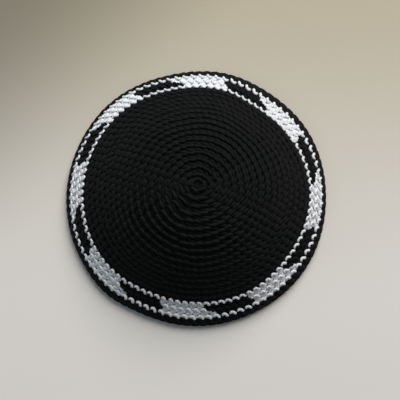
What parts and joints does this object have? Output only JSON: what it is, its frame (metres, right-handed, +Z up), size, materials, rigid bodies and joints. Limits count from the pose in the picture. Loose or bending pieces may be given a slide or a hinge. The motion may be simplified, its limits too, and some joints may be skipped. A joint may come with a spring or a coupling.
{
  "type": "crocheted kippah skullcap",
  "caption": "Round crocheted skullcap: a shallow ridged dome of thick cloth, open underneath for the head, with a patterned band and a plain edging.",
  "frame": {"origin": "middle of the rim's box, on the surface that the cap rests on", "axes": "+Z up through the crown, +Y towards the far side of the cap in the picture, +X to the right in the picture"},
  "size_m": [0.1694, 0.1692, 0.049],
  "materials": {
    "black_yarn": "matt black crochet cotton, plied",
    "white_yarn": "matt white crochet cotton, plied"
  },
  "bodies": {
    "root": {"crown": "black_yarn", "pattern_band": "white_yarn", "edging": "black_yarn"}
  },
  "joints": []
}
